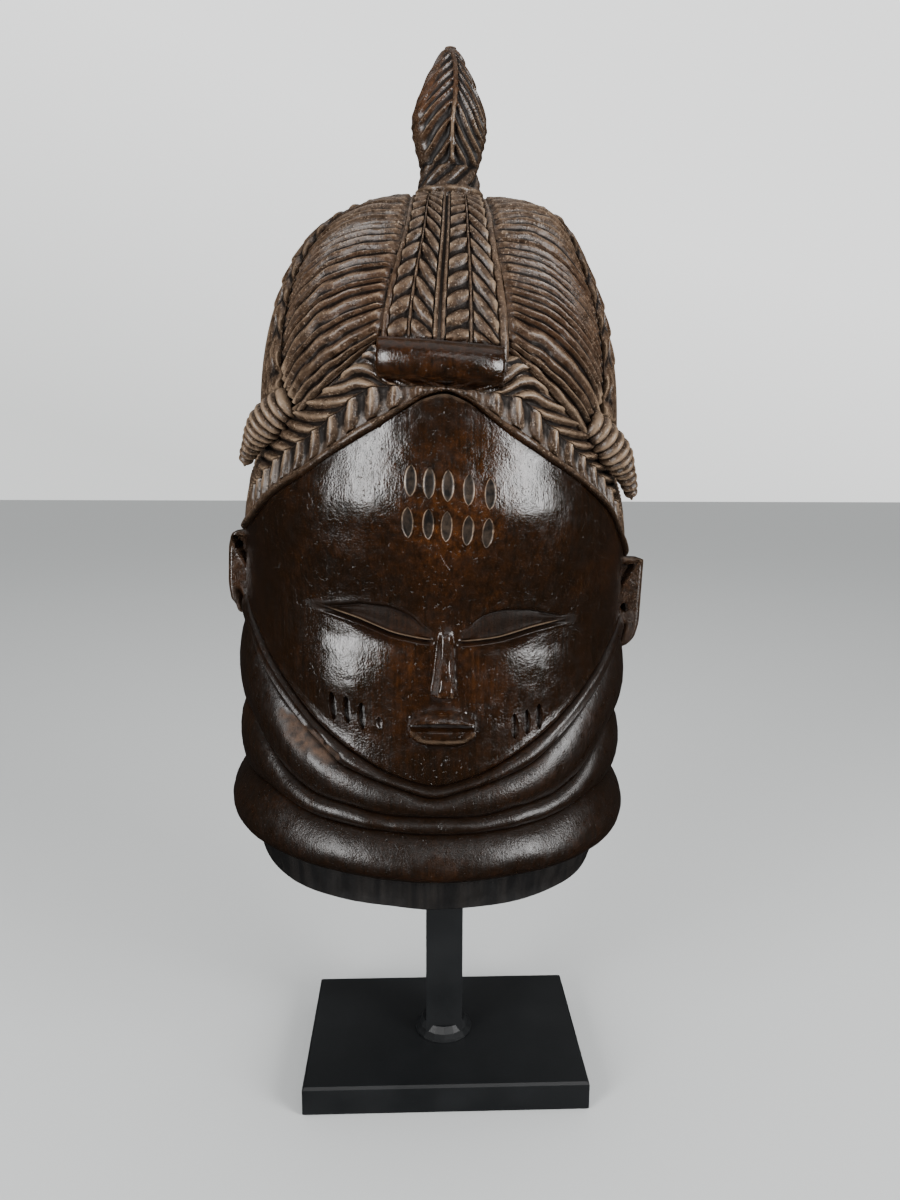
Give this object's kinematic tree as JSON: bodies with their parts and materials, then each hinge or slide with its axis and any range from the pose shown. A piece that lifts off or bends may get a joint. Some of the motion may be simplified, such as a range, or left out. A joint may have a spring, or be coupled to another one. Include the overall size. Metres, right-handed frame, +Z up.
{
  "type": "bundu helmet mask on a stand",
  "caption": "Hollow carved wooden helmet mask with ringed neck, calm face, combed and plaited hair and a leaf-shaped topknot, held up by a square post with a flat foot.",
  "frame": {"origin": "middle of the stand's underside, on the surface it stands on", "axes": "+Z up along the post, the face looks towards -Y, +X is to the right of someone facing the mask"},
  "size_m": [0.2147, 0.2201, 0.5307],
  "materials": {
    "carved_wood": "dyed almost black and rubbed with oil, glossy on the high parts, worn to brown",
    "black_steel": "matte black paint"
  },
  "bodies": {
    "root": {"mask": "carved_wood", "post": "black_steel", "base_plate": "black_steel"}
  },
  "joints": []
}
